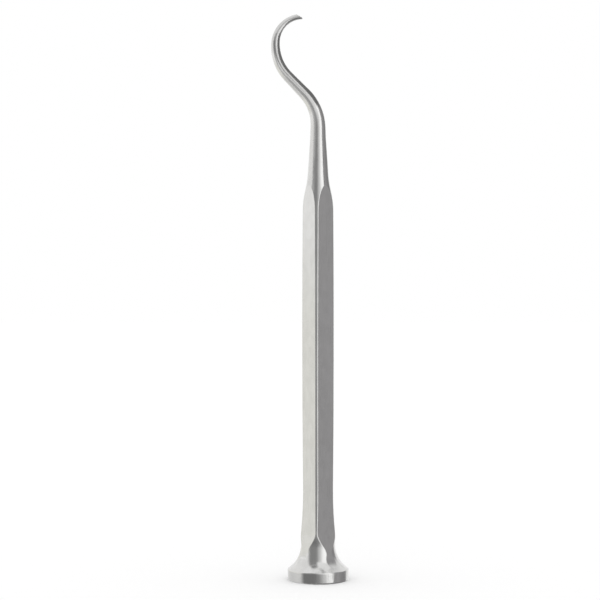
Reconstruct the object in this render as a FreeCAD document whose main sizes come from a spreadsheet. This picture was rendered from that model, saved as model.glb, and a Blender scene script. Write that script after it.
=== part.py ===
import FreeCAD, Part
import Sketcher
import math
import os
from FreeCAD import Placement, Rotation, Vector

# Bone awl: one forged and ground piece of stainless steel.
#
# A round striking head carries a square handle with narrow softened corners.
# The handle runs through a shoulder into a tapered neck, which is bent back and
# then forward into a hook that ends in a bevelled point.
#
# Millimetres, +Z up. The origin is the centre of the flat striking face, on
# which the awl stands. The hook lies in the XZ plane: it leaves the handle's
# axis towards -X and its point looks towards +X. The handle's corners face
# +X, +Y, -X and -Y.

SIZES = [
    # Striking head
    ("HeadDiameter", 21.6, "round striking head"),
    ("RimHeight", 3.8, "upright edge of the head"),
    ("RimEdge", 0.35, "rounding of the rim's two edges"),
    ("WaistHeight", 12.6, "striking face to the waist above the bell"),
    # Knuckle between the bell and the handle
    ("WaistStep", 0.68, "waist radius beyond the handle's corners"),
    ("KnuckleRise", 0.11, "knuckle radius beyond the waist"),
    ("KnuckleRadius", 15.0, "rounding of the knuckle, seen from the side"),
    # Handle
    ("FlareHeight", 33.0, "striking face to the slimmest part of the handle"),
    ("AcrossFlats", 8.14, "handle across two flats, at its slimmest part"),
    ("AcrossFlatsTop", 8.3, "across two flats, where they would pass the neck's top"),
    ("CornerCut", 0.43, "how far each corner falls short of a sharp square"),
    ("KneeCut", 0.565, "the same at the start of the shoulder"),
    ("CornerEdge", 0.3, "rounding of the edge round each flat"),
    ("CornerSwell", 0.23, "how far the corners bow out in the middle"),
    ("FlatSwell", 0.17, "how far each flat bows out in the middle"),
    ("GrindLength", 4.7, "waist to the lower end of the flats"),
    ("GrindRadius", 7.0, "hollow in which a flat starts to lean outwards"),
    ("GrindSlope", 15.0, "lean of a flat below that hollow, in degrees"),
    ("GrindOverrun", 2.5, "rim to where a flat's last hollow would lie level"),
    ("KneeHeight", 130.3, "striking face to the start of the shoulder"),
    # Shoulder and neck
    ("ShoulderLength", 13.2, "height of the shoulder"),
    ("NeckRootDiameter", 7.32, "neck at the end of the shoulder"),
    ("NeckLength", 12.5, "shoulder to the start of the bent part"),
    ("NeckDiameter", 5.66, "neck where the bent part starts"),
    # Bent part, along its centre line
    ("BendRise", 4.2, "straight run before the first bend"),
    ("SweepRadius", 16.8, "bend that leads back from the handle's axis"),
    ("SweepAngle", 43.7, "turn of that bend, in degrees"),
    ("SlantLength", 8.8, "straight run between the two bends"),
    ("HookRadius", 16.1, "first and wider bend of the hook"),
    ("HookAngle", 48.7, "turn of that bend, in degrees"),
    ("CurlRadius", 9.4, "second and tighter bend of the hook"),
    ("CurlAngle", 86.0, "turn of that bend, in degrees"),
    ("BendDiameter", 5.36, "thickness at the start of the first bend"),
    ("SweepDiameter", 4.3, "thickness at the end of the first bend"),
    ("SlantDiameter", 3.86, "thickness at the end of the straight run"),
    ("HookDiameter", 3.0, "thickness between the hook's two bends"),
    ("TipDiameter", 1.96, "thickness at the point, before its bevel"),
    ("BevelAngle", 30.0, "slope of the bevel on the outside of the point, in degrees"),
    ("TipThickness", 0.45, "what the bevel leaves at the very end"),
]

WORKED_OUT = [
    ("GripRadius", "=AcrossFlats * sqrt(2) / 2 - CornerCut", "corners at the slimmest part"),
    ("WaistRadius", "=GripRadius + WaistStep", "waist above the bell"),
    ("BellWidth", "=HeadDiameter / 2 - WaistRadius", "rim to waist, outwards"),
    ("BellHeight", "=WaistHeight - RimHeight", "rim to waist, upwards"),
    ("BellRadius", "=(BellWidth^2 + BellHeight^2) / (2 * BellWidth)", "hollow of the bell"),
    ("KnuckleReach", "=BellRadius + KnuckleRadius", "between the centres of bell and knuckle"),
    ("KnuckleHeight", "=WaistHeight + sqrt(KnuckleReach^2 - (KnuckleReach - KnuckleRise)^2)", "knuckle"),
    ("FlareStep", "=WaistStep + KnuckleRise", "knuckle radius beyond the slimmest part"),
    ("FlareClimb", "=FlareHeight - KnuckleHeight", "knuckle to the slimmest part"),
    ("FlareRadius", "=(FlareStep^2 + FlareClimb^2) / (2 * FlareStep) - KnuckleRadius", "corners' flare"),
    ("FlatFlare", "=FlareRadius * sqrt(2)", "radius of a flat where it keeps pace with the flare"),
    ("HandleLength", "=KneeHeight - FlareHeight", "slimmest part to the shoulder"),
    ("CornerBow", "=(HandleLength^2 / 4 + CornerSwell^2) / (2 * CornerSwell)", "radius of the bow"),
    ("GrindHeight", "=WaistHeight + GrindLength", "striking face to the lower end of the flats"),
    ("GrindReach", "=HeadDiameter / 2 + GrindOverrun", "axis to the outer end of the last hollow"),
    ("NeckRootHeight", "=KneeHeight + ShoulderLength", "end of the shoulder"),
    ("NeckTopHeight", "=NeckRootHeight + NeckLength", "start of the bent part"),
    ("FlatLength", "=NeckTopHeight - FlareHeight", "slimmest part to past the shoulder"),
    ("FlatBow", "=(FlatLength^2 / 4 + FlatSwell^2) / (2 * FlatSwell)", "radius of the bow"),
    ("KneeShare", "=HandleLength / FlatLength", "how far up a flat the shoulder starts"),
    ("KneeTaper", "=(AcrossFlatsTop - AcrossFlats) * KneeShare / 2", "a flat's lean up to there"),
    ("KneeSwell", "=4 * FlatSwell * KneeShare * (1 - KneeShare)", "a flat's bow there"),
    ("KneeFlat", "=AcrossFlats / 2 + KneeTaper + KneeSwell", "axis to a flat at the shoulder"),
    ("KneeRadius", "=KneeFlat * sqrt(2) - KneeCut", "corners at the shoulder"),
]

FLAT_COUNT = 4
FIRST_POINT, LAST_POINT, CENTRE = range(1, 4)
SKETCH_ORIGIN = (-1, FIRST_POINT)
UP = Vector(0, 0, 1)


class Drawing:
    """A sketch of the body whose sizes are bound to the sheet."""

    def __init__(self, body, name):
        self.sketch = body.newObject("Sketcher::SketchObject", name)

    def line(self, first, last):
        return self.sketch.addGeometry(Part.LineSegment(first, last))

    def arc(self, first, last, radius):
        """Add the short arc that runs anticlockwise from first to last."""
        chord = last - first
        across = Vector(-chord.y, chord.x, 0).normalize()
        depth = math.sqrt(max(radius ** 2 - chord.Length ** 2 / 4, 0))
        centre = (first + last) / 2 + across * depth
        angle_first = math.atan2(first.y - centre.y, first.x - centre.x)
        angle_last = math.atan2(last.y - centre.y, last.x - centre.x)
        if angle_last < angle_first:
            angle_last += 2 * math.pi
        circle = Part.Circle(centre, UP, radius)
        return self.sketch.addGeometry(Part.ArcOfCircle(circle, angle_first, angle_last))

    def circle(self, centre, radius):
        return self.sketch.addGeometry(Part.Circle(centre, UP, radius))

    def relate(self, kind, *where):
        """Add a relation without a size, such as Tangent or Vertical."""
        self.sketch.addConstraint(Sketcher.Constraint(kind, *where))

    def measure(self, kind, *where_and_value, formula):
        """Add a size, and bind it to a formula in the sheet's names."""
        number = self.sketch.addConstraint(Sketcher.Constraint(kind, *where_and_value))
        self.sketch.setExpression(f"Constraints[{number}]", formula)

    def place(self, geometry, point, across, upwards):
        """Fix one point by the sheet's names of its two distances from the origin."""
        at = self.sketch.getPoint(geometry, point)
        self.measure("DistanceX", *SKETCH_ORIGIN, geometry, point, at.x, formula=across)
        self.measure("DistanceY", *SKETCH_ORIGIN, geometry, point, at.y, formula=upwards)


def make_sheet(doc):
    sheet = doc.addObject("Spreadsheet::Sheet", "Sizes")
    for row, (alias, content, note) in enumerate(SIZES + WORKED_OUT, start=1):
        sheet.set(f"A{row}", alias)
        sheet.set(f"B{row}", str(content))
        sheet.set(f"C{row}", note)
        sheet.setAlias(f"B{row}", alias)
    doc.recompute()
    return sheet


def origin_feature(body, role):
    return next(feature for feature in body.Origin.OriginFeatures if feature.Role == role)


def attach_upright(sketch, body, turn=0.0):
    """Put a sketch on the XZ plane, turned about the handle's axis."""
    sketch.AttachmentSupport = [(origin_feature(body, "XZ_Plane"), "")]
    sketch.MapMode = "FlatFace"
    sketch.AttachmentOffset = Placement(Vector(), Rotation(Vector(0, 1, 0), turn))


def check_volume(before, after, grows):
    """A feature that misses the solid changes nothing and shows no error."""
    change = after.Volume - before.Volume
    if (change > 0) != grows or abs(change) < 1e-6:
        raise RuntimeError(f"a feature changed the volume by {change:.6f}")


def draw_outline(body, size):
    """Half of the round blank: head, bell, knuckle, handle, shoulder and neck."""
    drawing = Drawing(body, "BlankOutline")
    attach_upright(drawing.sketch, body)

    grip = size("GripRadius")
    waist = size("WaistRadius")
    bell_radius = size("BellRadius")
    knuckle_radius = size("KnuckleRadius")
    flare_height = size("FlareHeight")

    # Centres of the three arcs that touch each other at the knuckle
    bell_centre = Vector(waist + bell_radius, size("WaistHeight"), 0)
    knuckle_x = waist + size("KnuckleRise") - knuckle_radius
    knuckle_centre = Vector(knuckle_x, size("KnuckleHeight"), 0)
    flare_radius = size("FlareRadius")
    flare_centre = Vector(grip + flare_radius, flare_height, 0)

    def meeting(centre, other, radius):
        return centre + (other - centre).normalize() * radius

    base_centre = Vector(0, 0, 0)
    rim_foot = Vector(size("HeadDiameter") / 2, 0, 0)
    rim_top = Vector(rim_foot.x, size("RimHeight"), 0)
    bell_top = meeting(knuckle_centre, bell_centre, knuckle_radius)
    knuckle_top = meeting(knuckle_centre, flare_centre, knuckle_radius)
    flare_top = Vector(grip, flare_height, 0)
    knee = Vector(size("KneeRadius"), size("KneeHeight"), 0)
    neck_root = Vector(size("NeckRootDiameter") / 2, size("NeckRootHeight"), 0)
    neck_top = Vector(size("NeckDiameter") / 2, size("NeckTopHeight"), 0)
    neck_centre = Vector(0, neck_top.y, 0)
    shoulder_middle = (knee + neck_root) / 2
    shoulder_drop = knee.x - neck_root.x
    shoulder_radius = ((neck_root - knee).Length ** 2) / (4 * shoulder_drop)

    base = drawing.line(base_centre, rim_foot)
    rim = drawing.line(rim_foot, rim_top)
    bell = drawing.arc(bell_top, rim_top, bell_radius)
    knuckle = drawing.arc(bell_top, knuckle_top, knuckle_radius)
    flare = drawing.arc(flare_top, knuckle_top, flare_radius)
    corner = drawing.arc(flare_top, knee, size("CornerBow"))
    shoulder = drawing.arc(knee, shoulder_middle, shoulder_radius)
    neck_foot = drawing.arc(neck_root, shoulder_middle, shoulder_radius)
    neck = drawing.line(neck_root, neck_top)
    end = drawing.line(neck_top, neck_centre)
    axis = drawing.line(neck_centre, base_centre)

    drawing.relate("Coincident", base, FIRST_POINT, *SKETCH_ORIGIN)
    drawing.relate("Coincident", base, LAST_POINT, rim, FIRST_POINT)
    drawing.relate("Coincident", rim, LAST_POINT, bell, LAST_POINT)
    drawing.relate("Tangent", bell, FIRST_POINT, knuckle, FIRST_POINT)
    drawing.relate("Tangent", knuckle, LAST_POINT, flare, LAST_POINT)
    drawing.relate("Tangent", flare, FIRST_POINT, corner, FIRST_POINT)
    drawing.relate("Tangent", corner, LAST_POINT, shoulder, FIRST_POINT)
    drawing.relate("Tangent", shoulder, LAST_POINT, neck_foot, LAST_POINT)
    drawing.relate("Tangent", neck_foot, FIRST_POINT, neck, FIRST_POINT)
    drawing.relate("Coincident", neck, LAST_POINT, end, FIRST_POINT)
    drawing.relate("Coincident", end, LAST_POINT, axis, FIRST_POINT)
    drawing.relate("Coincident", axis, LAST_POINT, base, FIRST_POINT)
    drawing.relate("Horizontal", base)
    drawing.relate("Vertical", rim)
    drawing.relate("Horizontal", end)
    drawing.relate("Vertical", axis)
    drawing.relate("Equal", shoulder, neck_foot)

    drawing.place(rim, LAST_POINT, "Sizes.HeadDiameter / 2", "Sizes.RimHeight")
    drawing.place(bell, CENTRE, "Sizes.WaistRadius + Sizes.BellRadius", "Sizes.WaistHeight")
    drawing.measure("DistanceX", knuckle, CENTRE, *SKETCH_ORIGIN, -knuckle_x,
                    formula="Sizes.KnuckleRadius - Sizes.WaistRadius - Sizes.KnuckleRise")
    drawing.measure("Radius", knuckle, knuckle_radius, formula="Sizes.KnuckleRadius")
    drawing.place(flare, FIRST_POINT, "Sizes.GripRadius", "Sizes.FlareHeight")
    drawing.place(corner, LAST_POINT, "Sizes.KneeRadius", "Sizes.KneeHeight")
    drawing.measure("Radius", corner, size("CornerBow"), formula="Sizes.CornerBow")
    drawing.place(neck, FIRST_POINT, "Sizes.NeckRootDiameter / 2", "Sizes.NeckRootHeight")
    drawing.place(neck, LAST_POINT, "Sizes.NeckDiameter / 2", "Sizes.NeckTopHeight")
    return drawing.sketch


def turn_blank(body, size):
    blank = body.newObject("PartDesign::Revolution", "Blank")
    blank.Profile = draw_outline(body, size)
    blank.ReferenceAxis = (origin_feature(body, "Z_Axis"), [""])
    blank.Angle = 360
    return blank


def draw_flat(body, size):
    """What is ground off one side, seen along the flat."""
    drawing = Drawing(body, "FlatOutline")
    attach_upright(drawing.sketch, body, turn=180 / FLAT_COUNT)

    lean = math.radians(size("GrindSlope"))
    downhill = Vector(math.sin(lean), -math.cos(lean), 0)
    bow_radius = size("FlatBow")
    flare_radius = size("FlatFlare")
    hollow_radius = size("GrindRadius")

    slimmest = Vector(size("AcrossFlats") / 2, size("FlareHeight"), 0)
    flat_top = Vector(size("AcrossFlatsTop") / 2, size("NeckTopHeight"), 0)
    chord = flat_top - slimmest
    inwards = Vector(-chord.y, chord.x, 0).normalize()
    bow_depth = math.sqrt(bow_radius ** 2 - chord.Length ** 2 / 4)
    bow_centre = (slimmest + flat_top) / 2 + inwards * bow_depth
    flare_centre = slimmest + (slimmest - bow_centre).normalize() * flare_radius
    flare_drop = flare_centre.y - size("GrindHeight")
    flare_depth = math.sqrt(flare_radius ** 2 - flare_drop ** 2)
    flare_foot = Vector(flare_centre.x - flare_depth, size("GrindHeight"), 0)
    hollow_centre = flare_foot + (flare_centre - flare_foot).normalize() * hollow_radius
    hollow_foot = hollow_centre + Vector(downhill.y, -downhill.x, 0) * hollow_radius
    outer_foot = Vector(size("GrindReach"), size("RimHeight"), 0)
    crossing = hollow_foot + downhill * ((hollow_foot.y - outer_foot.y) / math.cos(lean))
    bend = outer_foot.x - crossing.x
    lean_foot = crossing - downhill * bend
    outer_top = Vector(outer_foot.x, flat_top.y, 0)

    flat = drawing.arc(slimmest, flat_top, bow_radius)
    flare = drawing.arc(slimmest, flare_foot, flare_radius)
    hollow = drawing.arc(flare_foot, hollow_foot, hollow_radius)
    leaning = drawing.line(hollow_foot, lean_foot)
    last = drawing.arc(lean_foot, outer_foot, bend / math.tan(math.pi / 4 - lean / 2))
    side = drawing.line(outer_foot, outer_top)
    top = drawing.line(outer_top, flat_top)

    drawing.relate("Tangent", flat, FIRST_POINT, flare, FIRST_POINT)
    drawing.relate("Tangent", flare, LAST_POINT, hollow, FIRST_POINT)
    drawing.relate("Tangent", hollow, LAST_POINT, leaning, FIRST_POINT)
    drawing.relate("Tangent", leaning, LAST_POINT, last, FIRST_POINT)
    drawing.relate("Coincident", last, LAST_POINT, side, FIRST_POINT)
    drawing.relate("Coincident", side, LAST_POINT, top, FIRST_POINT)
    drawing.relate("Coincident", top, LAST_POINT, flat, LAST_POINT)
    drawing.relate("Vertical", last, CENTRE, last, LAST_POINT)
    drawing.relate("Vertical", side)
    drawing.relate("Horizontal", top)

    drawing.place(flat, FIRST_POINT, "Sizes.AcrossFlats / 2", "Sizes.FlareHeight")
    drawing.place(flat, LAST_POINT, "Sizes.AcrossFlatsTop / 2", "Sizes.NeckTopHeight")
    drawing.place(last, LAST_POINT, "Sizes.GrindReach", "Sizes.RimHeight")
    drawing.measure("Radius", flat, bow_radius, formula="Sizes.FlatBow")
    drawing.measure("Radius", flare, flare_radius, formula="Sizes.FlatFlare")
    drawing.measure("Radius", hollow, hollow_radius, formula="Sizes.GrindRadius")
    drawing.measure("DistanceY", *SKETCH_ORIGIN, hollow, FIRST_POINT, flare_foot.y,
                    formula="Sizes.GrindHeight")
    drawing.measure("Angle", leaning, lean - math.pi / 2, formula="(Sizes.GrindSlope - 90) * 1 deg")
    return drawing.sketch


def grind_flats(body, blank, size):
    flat = body.newObject("PartDesign::Pocket", "Flat")
    flat.Profile = draw_flat(body, size)
    flat.Type = "ThroughAll"
    flat.Midplane = True
    body.Document.recompute()
    check_volume(blank.Shape, flat.Shape, grows=False)

    flats = body.newObject("PartDesign::PolarPattern", "Flats")
    flats.Originals = [flat]
    flats.Axis = (origin_feature(body, "Z_Axis"), [""])
    flats.Angle = 360
    flats.Occurrences = FLAT_COUNT
    body.Tip = flats
    body.Document.recompute()
    check_volume(flat.Shape, flats.Shape, grows=False)
    return flats


def is_ground(face, top):
    """The ground surfaces below the bend bow about a level axis or face sideways."""
    surface = face.Surface
    if not isinstance(surface, (Part.Cylinder, Part.Plane)):
        return False
    return abs(surface.Axis.z) < 0.5 and face.CenterOfMass.z < top


def ground_edges(shape, size):
    """Name the edges where a ground surface meets the turned blank."""
    names = []
    top = size("NeckTopHeight")
    for number, edge in enumerate(shape.Edges, start=1):
        faces = shape.ancestorsOfType(edge, Part.Face)
        if sum(is_ground(face, top) for face in faces) == 1:
            names.append(f"Edge{number}")
    return names


def rim_edges(shape, size):
    """Name the two round edges of the head's rim."""
    names = []
    radius = size("HeadDiameter") / 2
    for number, edge in enumerate(shape.Edges, start=1):
        curve = edge.Curve
        if isinstance(curve, Part.Circle) and abs(curve.Radius - radius) < 1e-6:
            names.append(f"Edge{number}")
    return names


def round_edges(body, base, name, edges, alias):
    rounding = body.newObject("PartDesign::Fillet", name)
    rounding.Base = (base, edges)
    rounding.setExpression("Radius", f"Sizes.{alias}")
    body.Document.recompute()
    return rounding


def draw_bend(body, size):
    """Centre line of the bent part, from the top of the neck to the point."""
    drawing = Drawing(body, "BendPath")
    attach_upright(drawing.sketch, body)

    heading = 0.0
    corner = Vector(0, size("NeckTopHeight"), 0)
    pieces = []

    def ahead(distance):
        return corner + Vector(math.sin(heading), math.cos(heading), 0) * distance

    def around(radius, angle):
        side = Vector(math.cos(heading), -math.sin(heading), 0)
        new_side = Vector(math.cos(heading + angle), -math.sin(heading + angle), 0)
        towards = 1 if angle > 0 else -1
        return corner + (side - new_side) * radius * towards

    rise_top = ahead(size("BendRise"))
    pieces.append(drawing.line(corner, rise_top))
    corner = rise_top

    sweep = -math.radians(size("SweepAngle"))
    sweep_end = around(size("SweepRadius"), sweep)
    pieces.append(drawing.arc(corner, sweep_end, size("SweepRadius")))
    corner = sweep_end
    heading += sweep

    slant_end = ahead(size("SlantLength"))
    pieces.append(drawing.line(corner, slant_end))
    corner = slant_end

    for radius, angle in (("HookRadius", "HookAngle"), ("CurlRadius", "CurlAngle")):
        turn = math.radians(size(angle))
        bend_end = around(size(radius), turn)
        pieces.append(drawing.arc(bend_end, corner, size(radius)))
        corner = bend_end
        heading += turn

    rise, sweep, slant, hook, curl = pieces
    drawing.relate("Vertical", rise)
    drawing.relate("Tangent", rise, LAST_POINT, sweep, FIRST_POINT)
    drawing.relate("Tangent", sweep, LAST_POINT, slant, FIRST_POINT)
    drawing.relate("Tangent", slant, LAST_POINT, hook, LAST_POINT)
    drawing.relate("Tangent", hook, FIRST_POINT, curl, LAST_POINT)
    drawing.relate("PointOnObject", rise, FIRST_POINT, -2)
    drawing.measure("DistanceY", *SKETCH_ORIGIN, rise, FIRST_POINT, size("NeckTopHeight"),
                    formula="Sizes.NeckTopHeight")
    drawing.measure("Distance", rise, size("BendRise"), formula="Sizes.BendRise")
    drawing.measure("Distance", slant, size("SlantLength"), formula="Sizes.SlantLength")
    for piece, name in ((sweep, "Sweep"), (hook, "Hook"), (curl, "Curl")):
        radius, angle = f"{name}Radius", f"{name}Angle"
        drawing.measure("Radius", piece, size(radius), formula=f"Sizes.{radius}")
        drawing.measure("Angle", piece, math.radians(size(angle)), formula=f"Sizes.{angle} * 1 deg")
    return drawing.sketch


def draw_section(body, path, edge, along, alias, size):
    """A round section square to the path, at a share of one edge's length."""
    drawing = Drawing(body, alias.replace("Diameter", "Section"))
    drawing.sketch.AttachmentSupport = [(path, edge)]
    drawing.sketch.MapMode = "NormalToEdge"
    drawing.sketch.MapPathParameter = along
    ring = drawing.circle(Vector(), size(alias) / 2)
    drawing.relate("Coincident", ring, CENTRE, *SKETCH_ORIGIN)
    drawing.measure("Diameter", ring, size(alias), formula=f"Sizes.{alias}")
    return drawing.sketch


def bend_neck(body, base, size):
    path = draw_bend(body, size)
    body.Document.recompute()
    sections = [
        draw_section(body, path, "Edge1", 0.0, "NeckDiameter", size),
        draw_section(body, path, "Edge2", 0.0, "BendDiameter", size),
        draw_section(body, path, "Edge2", 1.0, "SweepDiameter", size),
        draw_section(body, path, "Edge3", 1.0, "SlantDiameter", size),
        draw_section(body, path, "Edge4", 0.0, "HookDiameter", size),
        draw_section(body, path, "Edge5", 0.0, "TipDiameter", size),
    ]
    hook = body.newObject("PartDesign::AdditivePipe", "Hook")
    hook.Profile = sections[0]
    hook.Spine = path
    hook.Sections = sections[1:]
    hook.Transformation = "Multisection"
    body.Document.recompute()
    check_volume(base.Shape, hook.Shape, grows=True)
    return hook, path


def draw_bevel(body, path, size):
    """What the bevel takes off: across it runs back from the point, upwards inwards."""
    drawing = Drawing(body, "BevelOutline")
    drawing.sketch.AttachmentSupport = [(path, "Edge5")]
    drawing.sketch.MapMode = "FrenetTN"
    drawing.sketch.MapPathParameter = 0.0

    angle = math.radians(size("BevelAngle"))
    reach = 3 * size("TipDiameter")
    end = Vector(0, size("TipDiameter") / 2 - size("TipThickness"), 0)
    back = end + Vector(math.cos(angle), -math.sin(angle), 0) * reach
    above = Vector(0, back.y, 0)

    bevel = drawing.line(end, back)
    top = drawing.line(back, above)
    side = drawing.line(above, end)
    drawing.relate("Coincident", bevel, LAST_POINT, top, FIRST_POINT)
    drawing.relate("Coincident", top, LAST_POINT, side, FIRST_POINT)
    drawing.relate("Coincident", side, LAST_POINT, bevel, FIRST_POINT)
    drawing.relate("Horizontal", top)
    drawing.relate("Vertical", side)
    drawing.relate("PointOnObject", bevel, FIRST_POINT, -2)
    drawing.measure("DistanceY", *SKETCH_ORIGIN, bevel, FIRST_POINT, end.y,
                    formula="Sizes.TipDiameter / 2 - Sizes.TipThickness")
    drawing.measure("Distance", bevel, reach, formula="3 * Sizes.TipDiameter")
    drawing.measure("Angle", bevel, -angle, formula="-Sizes.BevelAngle * 1 deg")
    return drawing.sketch


def bevel_point(body, base, path, size):
    bevel = body.newObject("PartDesign::Pocket", "Bevel")
    bevel.Profile = draw_bevel(body, path, size)
    bevel.Type = "Length"
    bevel.Midplane = True
    bevel.setExpression("Length", "3 * Sizes.TipDiameter")
    body.Document.recompute()
    check_volume(base.Shape, bevel.Shape, grows=False)
    return bevel


def main():
    doc = FreeCAD.newDocument("BoneAwl")
    sheet = make_sheet(doc)

    def size(alias):
        return float(sheet.get(alias))

    body = doc.addObject("PartDesign::Body", "Awl")
    body.Label = "bone_awl"
    blank = turn_blank(body, size)
    doc.recompute()
    flats = grind_flats(body, blank, size)
    hook, path = bend_neck(body, flats, size)
    bevel = bevel_point(body, hook, path, size)
    softened = round_edges(body, bevel, "FlatEdges", ground_edges(bevel.Shape, size), "CornerEdge")
    round_edges(body, softened, "RimEdges", rim_edges(softened.Shape, size), "RimEdge")

    for thing in doc.Objects:
        if "Invalid" in thing.State or "Error" in thing.State:
            raise RuntimeError(f"{thing.Name} failed: {thing.State}")
    shape = body.Shape
    if shape.isNull() or not shape.isValid() or len(shape.Solids) != 1:
        raise RuntimeError("the awl is not one sound solid")
    os.makedirs("parts", exist_ok=True)
    shape.exportStep(f"parts/{body.Label}.step")


main()
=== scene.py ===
import bpy
import math
from mathutils import Matrix, Vector

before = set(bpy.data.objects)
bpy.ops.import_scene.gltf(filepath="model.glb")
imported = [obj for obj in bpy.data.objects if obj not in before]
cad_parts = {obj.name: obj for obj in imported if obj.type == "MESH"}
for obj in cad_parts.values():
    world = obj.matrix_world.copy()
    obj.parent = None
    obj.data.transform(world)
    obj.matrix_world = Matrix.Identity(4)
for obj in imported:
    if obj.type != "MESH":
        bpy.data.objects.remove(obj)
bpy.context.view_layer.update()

# Lengths are in metres, apart from the lens's, which is in millimetres.
# The camera is level, and sees the awl turned a little about its own axis.
VIEW_TURN = math.radians(6.4)
CAMERA_AWAY = 0.54
CAMERA_HEIGHT = 0.0988
CAMERA_ASIDE = -0.0064
LENS = 91.53

# Directions as the camera sees them
RIGHT = Vector((math.cos(VIEW_TURN), math.sin(VIEW_TURN), 0))
TOWARDS = Vector((math.sin(VIEW_TURN), -math.cos(VIEW_TURN), 0))
UP = Vector((0, 0, 1))

# Half the floor's width, its paleness, and the glow that a camera or a reflection sees on it
FLOOR_REACH = 6.0
FLOOR_COLOUR = 0.95
FLOOR_LIFT = 0.06

# Tints of the light cards
WHITE = (1, 1, 1)
COOL = (1.0, 0.985, 1.0)
PALE = (1.0, 0.997, 0.99)
WARM = (1.0, 0.995, 0.945)

# Distances of the light cards' feet and tops from the awl's axis
FAR = (0.5, 0.5)
MIDDLE = (0.4, 0.4)
NEAR = (0.14, 0.14)
HOOK = (0.05, 0.05)
HOOK_OUTER = (0.052, 0.052)

# Rows of a card's mesh in one soft edge, where its light fades
ROWS_IN_FADE = 6

# The handle's grinding lines give way to the neck's turning lines between two heights.
# The noise of each mark has a size and a stretch along x, y and z.
TURNING_STARTS = 0.1283
TURNING_ALONE = 0.1435
GRINDING_SIZE = 0.00016
GRINDING_STRETCH = (1, 1, 70)
TURNING_SIZE = 0.0002
TURNING_STRETCH = (4, 4, 0.6)
LINE_HEIGHT = 0.0000012

WAVE_SIZE = 0.009
WAVE_STRETCH = (1, 1, 2.2)
WAVE_HEIGHT = 0.00012
SMUDGE_SIZE = 0.0024
SMUDGE_STRETCH = (1, 1, 1.6)

# Each family of scratches: its turn in radians, and its scratches' width and length
SCRATCHES = (
    (0.5, 0.00010, 0.006),
    (-0.8, 0.00012, 0.008),
    (0.12, 0.00009, 0.011),
)
SCRATCH_SIDE_TURN = 0.7
SCRATCH_PATCH = 1.2
SCRATCH_DEPTH = 0.000002

# Noise values between which scratches, their patches and the other marks come in
SCRATCH_SPAN = (0.68, 0.76)
PATCH_SPAN = (0.48, 0.62)
BROAD_SPAN = (0.3, 0.7)
LINES_SPAN = (0.2, 0.8)

# Radii to which the shading rounds the edges, and along which they are worn
EDGE_RADIUS = 0.0004
WEAR_RADIUS = 0.0005
BEVEL_SAMPLES = 6

# Cosines of the turn in a rounded normal at which wear starts and is full
WEAR_STARTS = 0.995
WEAR_FULL = 0.9

METAL_DARK = (0.67, 0.668, 0.66, 1)
METAL_LIGHT = (0.71, 0.708, 0.7, 1)
METAL_SCRATCHED = (0.56, 0.56, 0.545, 1)
METAL_WORN = (0.76, 0.76, 0.75, 1)
SCRATCH_COLOUR_SHARE = 0.35
WORN_COLOUR_SHARE = 0.6

# Roughness of the metal, and what its marks add
ROUGHNESS_LOW = 0.13
ROUGHNESS_HIGH = 0.18
LINES_LEAST = -0.02
LINES_MOST = 0.03
SCRATCH_ADDS = 0.08
WEAR_ADDS = -0.04


def add_camera():
    data = bpy.data.cameras.new("camera")
    data.lens = LENS
    camera = bpy.data.objects.new("camera", data)
    bpy.context.collection.objects.link(camera)
    place = RIGHT * CAMERA_ASIDE + TOWARDS * CAMERA_AWAY + UP * CAMERA_HEIGHT
    turn = TOWARDS.to_track_quat("Z", "Y").to_matrix().to_4x4()
    camera.matrix_world = Matrix.Translation(place) @ turn
    bpy.context.scene.camera = camera


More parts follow.
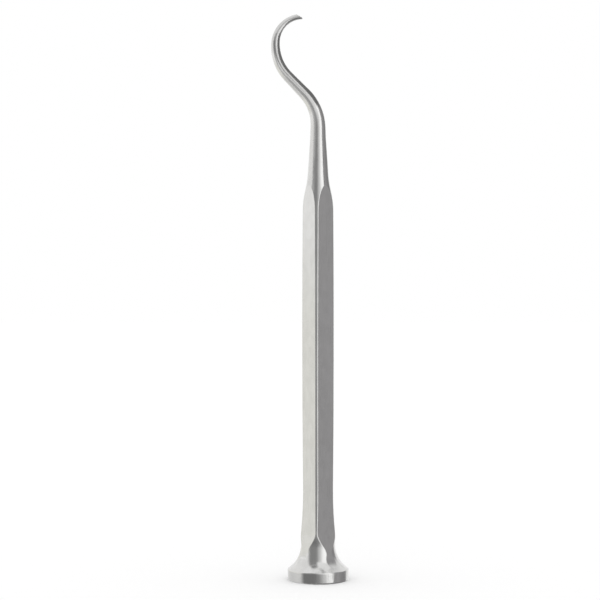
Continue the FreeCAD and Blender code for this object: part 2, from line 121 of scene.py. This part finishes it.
class Material:
    """A node material, with short ways to add and join its nodes."""

    def __init__(self, name):
        self.data = bpy.data.materials.new(name)
        self.data.use_nodes = True
        self.data.node_tree.nodes.clear()
        self.output = self.add("OutputMaterial")

    def add(self, kind, **settings):
        node = self.data.node_tree.nodes.new("ShaderNode" + kind)
        for key, value in settings.items():
            setattr(node, key, value)
        return node

    def join(self, source, target):
        self.data.node_tree.links.new(source, target)

    def set(self, socket, value):
        """Sets a socket to a number or colour, or joins it to another node's output."""
        if isinstance(value, bpy.types.NodeSocket):
            self.join(value, socket)
        else:
            socket.default_value = value

    def math(self, operation, first, second=0.0, third=0.0):
        node = self.add("Math", operation=operation)
        for socket, value in zip(node.inputs, (first, second, third)):
            self.set(socket, value)
        return node.outputs[0]

    def between(self, value, low, high, start=0.0, end=1.0):
        """Start where the value is low and end where it is high, with a smooth step between."""
        node = self.add("MapRange", interpolation_type="SMOOTHSTEP")
        names = ("Value", "From Min", "From Max", "To Min", "To Max")
        for name, number in zip(names, (value, low, high, start, end)):
            self.set(node.inputs[name], number)
        return node.outputs[0]

    def blend(self, share, first, second):
        """A mix of two colours, which a Mix node takes on sockets 6 and 7."""
        node = self.add("Mix", data_type="RGBA")
        self.set(node.inputs[0], share)
        self.set(node.inputs[6], first)
        self.set(node.inputs[7], second)
        return node.outputs[2]

    def mix(self, share, first, second):
        """A mix of two numbers, which a Mix node takes on sockets 2 and 3."""
        node = self.add("Mix")
        self.set(node.inputs[0], share)
        self.set(node.inputs[2], first)
        self.set(node.inputs[3], second)
        return node.outputs[0]

    def bump(self, height, distance, under):
        """A normal with bumps as high as distance, or as deep where it is below 0."""
        node = self.add("Bump")
        node.inputs["Distance"].default_value = abs(distance)
        node.invert = distance < 0
        self.join(height, node.inputs["Height"])
        self.join(under, node.inputs["Normal"])
        return node.outputs[0]

    def rounded(self, radius):
        node = self.add("Bevel", samples=BEVEL_SAMPLES)
        node.inputs["Radius"].default_value = radius
        return node.outputs[0]

    def worn_edges(self, radius):
        """1 on sharp edges and 0 on open faces, from how far a rounded normal turns there."""
        geometry = self.add("NewGeometry")
        dot = self.add("VectorMath", operation="DOT_PRODUCT")
        self.join(self.rounded(radius), dot.inputs[0])
        self.join(geometry.outputs["Normal"], dot.inputs[1])
        return self.between(dot.outputs["Value"], WEAR_STARTS, WEAR_FULL)

    def scratches(self, where):
        """Fine straight handling scratches in patches: the peaks of noise drawn out long."""
        found = 0.0
        for turn, width, length in SCRATCHES:
            turns = (turn, turn * SCRATCH_SIDE_TURN, 0)
            field = self.noise(where, width, (1, 1, length / width), detail=0, turn=turns)
            patches = self.noise(where, length * SCRATCH_PATCH, detail=0)
            mask = self.between(patches, *PATCH_SPAN)
            family = self.math("MULTIPLY", self.between(field, *SCRATCH_SPAN), mask)
            found = self.math("MAXIMUM", found, family)
        return found

    def noise(self, where, size, stretch=(1, 1, 1), *, detail, turn=(0, 0, 0)):
        """Noise whose lumps are about size metres across, stretched along each axis."""
        mapping = self.add("Mapping")
        mapping.inputs["Rotation"].default_value = turn
        mapping.inputs["Scale"].default_value = [1 / (size * s) for s in stretch]
        self.join(where, mapping.inputs["Vector"])
        node = self.add("TexNoise")
        node.inputs["Scale"].default_value = 1.0
        node.inputs["Detail"].default_value = detail
        self.join(mapping.outputs[0], node.inputs["Vector"])
        return node.outputs["Fac"]


def set_world():
    world = bpy.data.worlds.new("studio")
    bpy.context.scene.world = world
    world.use_nodes = True
    background = world.node_tree.nodes["Background"]
    background.inputs["Color"].default_value = (1, 1, 1, 1)
    background.inputs["Strength"].default_value = 1.0


def floor_material():
    """Plain white, lifted a little where a camera or a reflection sees it.

    So the floor matches the white behind it, and only the shadow shows.
    """
    floor = Material("floor")
    diffuse = floor.add("BsdfDiffuse")
    diffuse.inputs["Color"].default_value = (FLOOR_COLOUR, FLOOR_COLOUR, FLOOR_COLOUR, 1)
    path = floor.add("LightPath")
    seen = floor.math("MAXIMUM", path.outputs["Is Camera Ray"], path.outputs["Is Glossy Ray"])
    seen = floor.math("MAXIMUM", seen, path.outputs["Is Transmission Ray"])
    lift = floor.add("Emission")
    floor.join(floor.math("MULTIPLY", seen, FLOOR_LIFT), lift.inputs["Strength"])
    both = floor.add("AddShader")
    floor.join(diffuse.outputs[0], both.inputs[0])
    floor.join(lift.outputs[0], both.inputs[1])
    floor.join(both.outputs[0], floor.output.inputs["Surface"])
    return floor.data


def add_floor():
    """A floor that throws light and takes the shadow, but isn't seen in the metal."""
    reach = FLOOR_REACH
    corners = [(-reach, -reach, 0), (reach, -reach, 0), (reach, reach, 0), (-reach, reach, 0)]
    mesh = bpy.data.meshes.new("floor")
    mesh.from_pydata(corners, [], [(0, 1, 2, 3)])
    mesh.materials.append(floor_material())
    floor = bpy.data.objects.new("floor", mesh)
    floor.visible_glossy = False
    bpy.context.collection.objects.link(floor)


def card_material(name):
    """Light of the colour attribute's colour, as see-through as its alpha is low."""
    card = Material(name)
    colour = card.add("Attribute", attribute_name="shade")
    glow = card.add("Emission")
    clear = card.add("BsdfTransparent")
    both = card.add("MixShader")
    card.join(colour.outputs["Color"], glow.inputs["Color"])
    card.join(colour.outputs["Alpha"], both.inputs[0])
    card.join(clear.outputs[0], both.inputs[1])
    card.join(glow.outputs[0], both.inputs[2])
    card.join(both.outputs[0], card.output.inputs["Surface"])
    return card.data


def soft_step(value, start, end):
    share = min(1.0, max(0.0, (value - start) / (end - start)))
    return share * share * (3 - 2 * share)


def soft_window(value, low, high, soft_low, soft_high):
    """1 between low and high, fading to 0 over each soft width, which is centred on its end."""
    rise = soft_step(value, low - soft_low / 2, low + soft_low / 2)
    fall = soft_step(value, high - soft_high / 2, high + soft_high / 2)
    return rise * (1 - fall)


def level_at(azimuth, stops):
    """The light level between the stops, each an azimuth and its level."""
    for (left, first), (right, second) in zip(stops, stops[1:]):
        if azimuth <= right:
            share = max(0.0, (azimuth - left) / (right - left))
            return first + (second - first) * share
    return stops[-1][1]


def spread(first, last, steps):
    """Values from first to last in even steps."""
    return [first + (last - first) * i / steps for i in range(steps + 1)]


def grid_faces(rows, columns):
    """The faces of a mesh whose points lie in rows, with one point more than columns in each."""
    across = columns + 1
    return [
        (i * across + j, i * across + j + 1, (i + 1) * across + j + 1, (i + 1) * across + j)
        for i in range(rows) for j in range(columns)
    ]


def card_mesh(name, distances, heights, stops, soft, soft_height, tint):
    """A card's mesh, with a column for each degree and its light as a colour attribute."""
    ends = stops[0][0], stops[-1][0]
    first, last = ends[0] - soft[0] / 2, ends[1] + soft[1] / 2
    low, high = heights[0] - soft_height / 2, heights[1] + soft_height / 2
    columns = math.ceil(last - first)
    rows = math.ceil((high - low) / (soft_height / ROWS_IN_FADE))
    points = []
    shades = []
    for height, distance in zip(spread(low, high, rows), spread(*distances, rows)):
        upright = soft_window(height, *heights, soft_height, soft_height)
        for azimuth in spread(first, last, columns):
            turn = math.radians(azimuth)
            outwards = TOWARDS * math.cos(turn) + RIGHT * math.sin(turn)
            points.append(outwards * distance + UP * height)
            level = level_at(azimuth, stops)
            alpha = upright * soft_window(azimuth, *ends, *soft)
            shades.append([level * t for t in tint] + [alpha])
    mesh = bpy.data.meshes.new(name)
    mesh.from_pydata(points, [], grid_faces(rows, columns))
    attribute = mesh.color_attributes.new("shade", "FLOAT_COLOR", "POINT")
    for point, value in zip(attribute.data, shades):
        point.color = value
    return mesh


def add_card(name, distances, heights, stops, soft=(8, 8), soft_height=0.03, tint=WHITE):
    """A curved card that only the metal sees, round the awl and between two heights.

    Its distances from the awl are those at its foot and at its top. Its stops give its light
    level at azimuths in degrees, from 0 on the camera's side to 90 on the right. The first and
    the last are its ends, where it fades over a soft width in degrees. Its foot and top fade
    over the soft height.
    """
    mesh = card_mesh(name, distances, heights, stops, soft, soft_height, tint)
    mesh.materials.append(card_material(name))
    card = bpy.data.objects.new(name, mesh)
    card.visible_camera = False
    card.visible_diffuse = False
    card.visible_shadow = False
    bpy.context.collection.objects.link(card)


def even(level, first, last):
    """Stops of one light level from the first azimuth to the last."""
    return [(first, level), (last, level)]


def add_left_cards():
    """Bright behind the awl on its left, and dark in front of it on its left."""
    add_card("back_left", FAR, (-0.07, 0.9), [(-150, 0.97), (-60, 0.93)], soft=(20, 4), tint=PALE)
    add_card(
        "back_left_warm", (0.49, 0.49), (-0.06, 0.115), [(-150, 0.95), (-60, 0.92)],
        soft=(20, 4), soft_height=0.06, tint=WARM)
    add_card(
        "back_left_high", (0.48, 0.48), (0.13, 0.215), [(-150, 1.07), (-60, 1.03)],
        soft=(20, 4), soft_height=0.06, tint=PALE)
    add_card("back_left_low", FAR, (-0.9, -0.07), even(0.75, -150, -60), soft=(20, 4))
    add_card(
        "left", NEAR, (-0.006, 0.235), even(0.3, -61, -9), soft=(20, 10), soft_height=0.01)
    add_card("left_rim", (0.15, 0.15), (-0.12, 0.0), even(0.22, -61, -9), soft=(20, 10))
    add_card(
        "left_roof", (0.135, 0.06), (0.205, 0.29), even(0.26, -61, -9),
        soft=(20, 10), soft_height=0.05)


def add_front_cards():
    """From dark straight in front of the awl to bright on the front's right."""
    front = [(-14, 0.3), (22, 0.94), (33, 1.3), (60, 1.32)]
    front_rim = [(-14, 0.24), (2, 0.26), (30, 0.9), (36, 1.3), (60, 1.3)]
    add_card("front", FAR, (-0.06, 0.62), front, soft=(4, 5))
    add_card("front_rim", (0.55, 0.55), (-0.13, -0.02), front_rim, soft=(4, 5))


def add_low_cards():
    """Below the floor, which reflections pass through."""
    add_card("front_low", FAR, (-0.9, -0.12), even(0.22, -12, 60))
    add_card(
        "under_right", (0.005, 0.6), (-0.5, -0.25), even(0.18, 60, 200),
        soft=(8, 20), soft_height=0.02)
    add_card(
        "under", (0.005, 0.5), (-0.96, -0.9), even(0.2, -182, 182),
        soft=(2, 2), soft_height=0.004)
    add_card("low_left", FAR, (-0.9, -0.12), even(0.6, -80, -12))


def add_right_cards():
    """Dark on the awl's right, with a light behind it for the foot."""
    right = [(60, 0.22), (78, 0.4), (90, 0.33), (128, 0.26)]
    foot_light = [(94, 0.5), (112, 0.8), (130, 0.95), (175, 0.95)]
    add_card("right", MIDDLE, (-0.3, 0.5), right, soft=(4, 14), soft_height=0.1, tint=COOL)
    add_card(
        "foot_light", (0.13, 0.04), (0.05, 0.115), foot_light, soft=(12, 10), soft_height=0.02)
    add_card("neck_right", (0.3, 0.3), (0.17, 0.5), even(0.26, 120, 142), soft=(20, 12))


def add_hook_cards():
    """Close round the hook: light on its left and in front, and dark on its right."""
    add_card(
        "hood_left", HOOK, (0.208, 0.26), even(0.9, -120, 20), soft=(20, 16), soft_height=0.012)
    add_card(
        "hood_right", HOOK, (0.21, 0.29), even(0.2, 20, 165), soft=(16, 20), soft_height=0.012)
    add_card(
        "hook_right", (0.03, 0.03), (0.187, 0.225), even(0.18, 32, 165),
        soft=(8, 20), soft_height=0.006)
    add_card(
        "slant_fill", HOOK, (0.176, 0.19), even(0.92, -56, 24), soft=(24, 10), soft_height=0.01)
    add_card(
        "slant_fill_high", HOOK_OUTER, (0.189, 0.212), [(-8, 0.88), (24, 0.98)],
        soft=(12, 10), soft_height=0.01)
    add_card(
        "slant_low", HOOK_OUTER, (0.158, 0.176), [(-66, 0.6), (-36, 0.45)],
        soft=(20, 14), soft_height=0.01)


def metal_colour(steel, smudges, scratch, worn):
    colour = steel.blend(steel.between(smudges, *BROAD_SPAN), METAL_DARK, METAL_LIGHT)
    scratch_share = steel.math("MULTIPLY", scratch, SCRATCH_COLOUR_SHARE)
    colour = steel.blend(scratch_share, colour, METAL_SCRATCHED)
    worn_share = steel.math("MULTIPLY", worn, WORN_COLOUR_SHARE)
    return steel.blend(worn_share, colour, METAL_WORN)


def metal_roughness(steel, waves, lines, scratch, worn):
    roughness = steel.between(waves, *BROAD_SPAN, ROUGHNESS_LOW, ROUGHNESS_HIGH)
    grain = steel.between(lines, *LINES_SPAN, LINES_LEAST, LINES_MOST)
    roughness = steel.math("ADD", roughness, grain)
    roughness = steel.math("MULTIPLY_ADD", scratch, SCRATCH_ADDS, roughness)
    return steel.math("MULTIPLY_ADD", worn, WEAR_ADDS, roughness)


def metal_normal(steel, waves, lines, scratch):
    normal = steel.bump(waves, WAVE_HEIGHT, steel.rounded(EDGE_RADIUS))
    normal = steel.bump(lines, LINE_HEIGHT, normal)
    return steel.bump(scratch, -SCRATCH_DEPTH, normal)


def steel_material():
    """Satin stainless steel: ground along the handle, turned on the neck, worn on its edges."""
    steel = Material("satin_steel")
    place = steel.add("TexCoord").outputs["Object"]
    apart = steel.add("SeparateXYZ")
    steel.join(place, apart.inputs[0])
    on_neck = steel.between(apart.outputs["Z"], TURNING_STARTS, TURNING_ALONE)

    grinding = steel.noise(place, GRINDING_SIZE, GRINDING_STRETCH, detail=4)
    turning = steel.noise(place, TURNING_SIZE, TURNING_STRETCH, detail=4)
    lines = steel.mix(on_neck, grinding, turning)
    waves = steel.noise(place, WAVE_SIZE, WAVE_STRETCH, detail=2)
    smudges = steel.noise(place, SMUDGE_SIZE, SMUDGE_STRETCH, detail=3)
    scratch = steel.scratches(place)
    worn = steel.worn_edges(WEAR_RADIUS)

    shader = steel.add("BsdfPrincipled")
    shader.inputs["Metallic"].default_value = 1.0
    steel.join(metal_colour(steel, smudges, scratch, worn), shader.inputs["Base Color"])
    steel.join(metal_roughness(steel, waves, lines, scratch, worn), shader.inputs["Roughness"])
    steel.join(metal_normal(steel, waves, lines, scratch), shader.inputs["Normal"])
    steel.join(shader.outputs[0], steel.output.inputs["Surface"])
    return steel.data


def dress():
    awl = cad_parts["bone_awl"]
    awl.data.materials.clear()
    awl.data.materials.append(steel_material())


bpy.context.scene.view_settings.view_transform = "Standard"
set_world()
add_floor()
add_camera()
add_left_cards()
add_front_cards()
add_low_cards()
add_right_cards()
add_hook_cards()
dress()
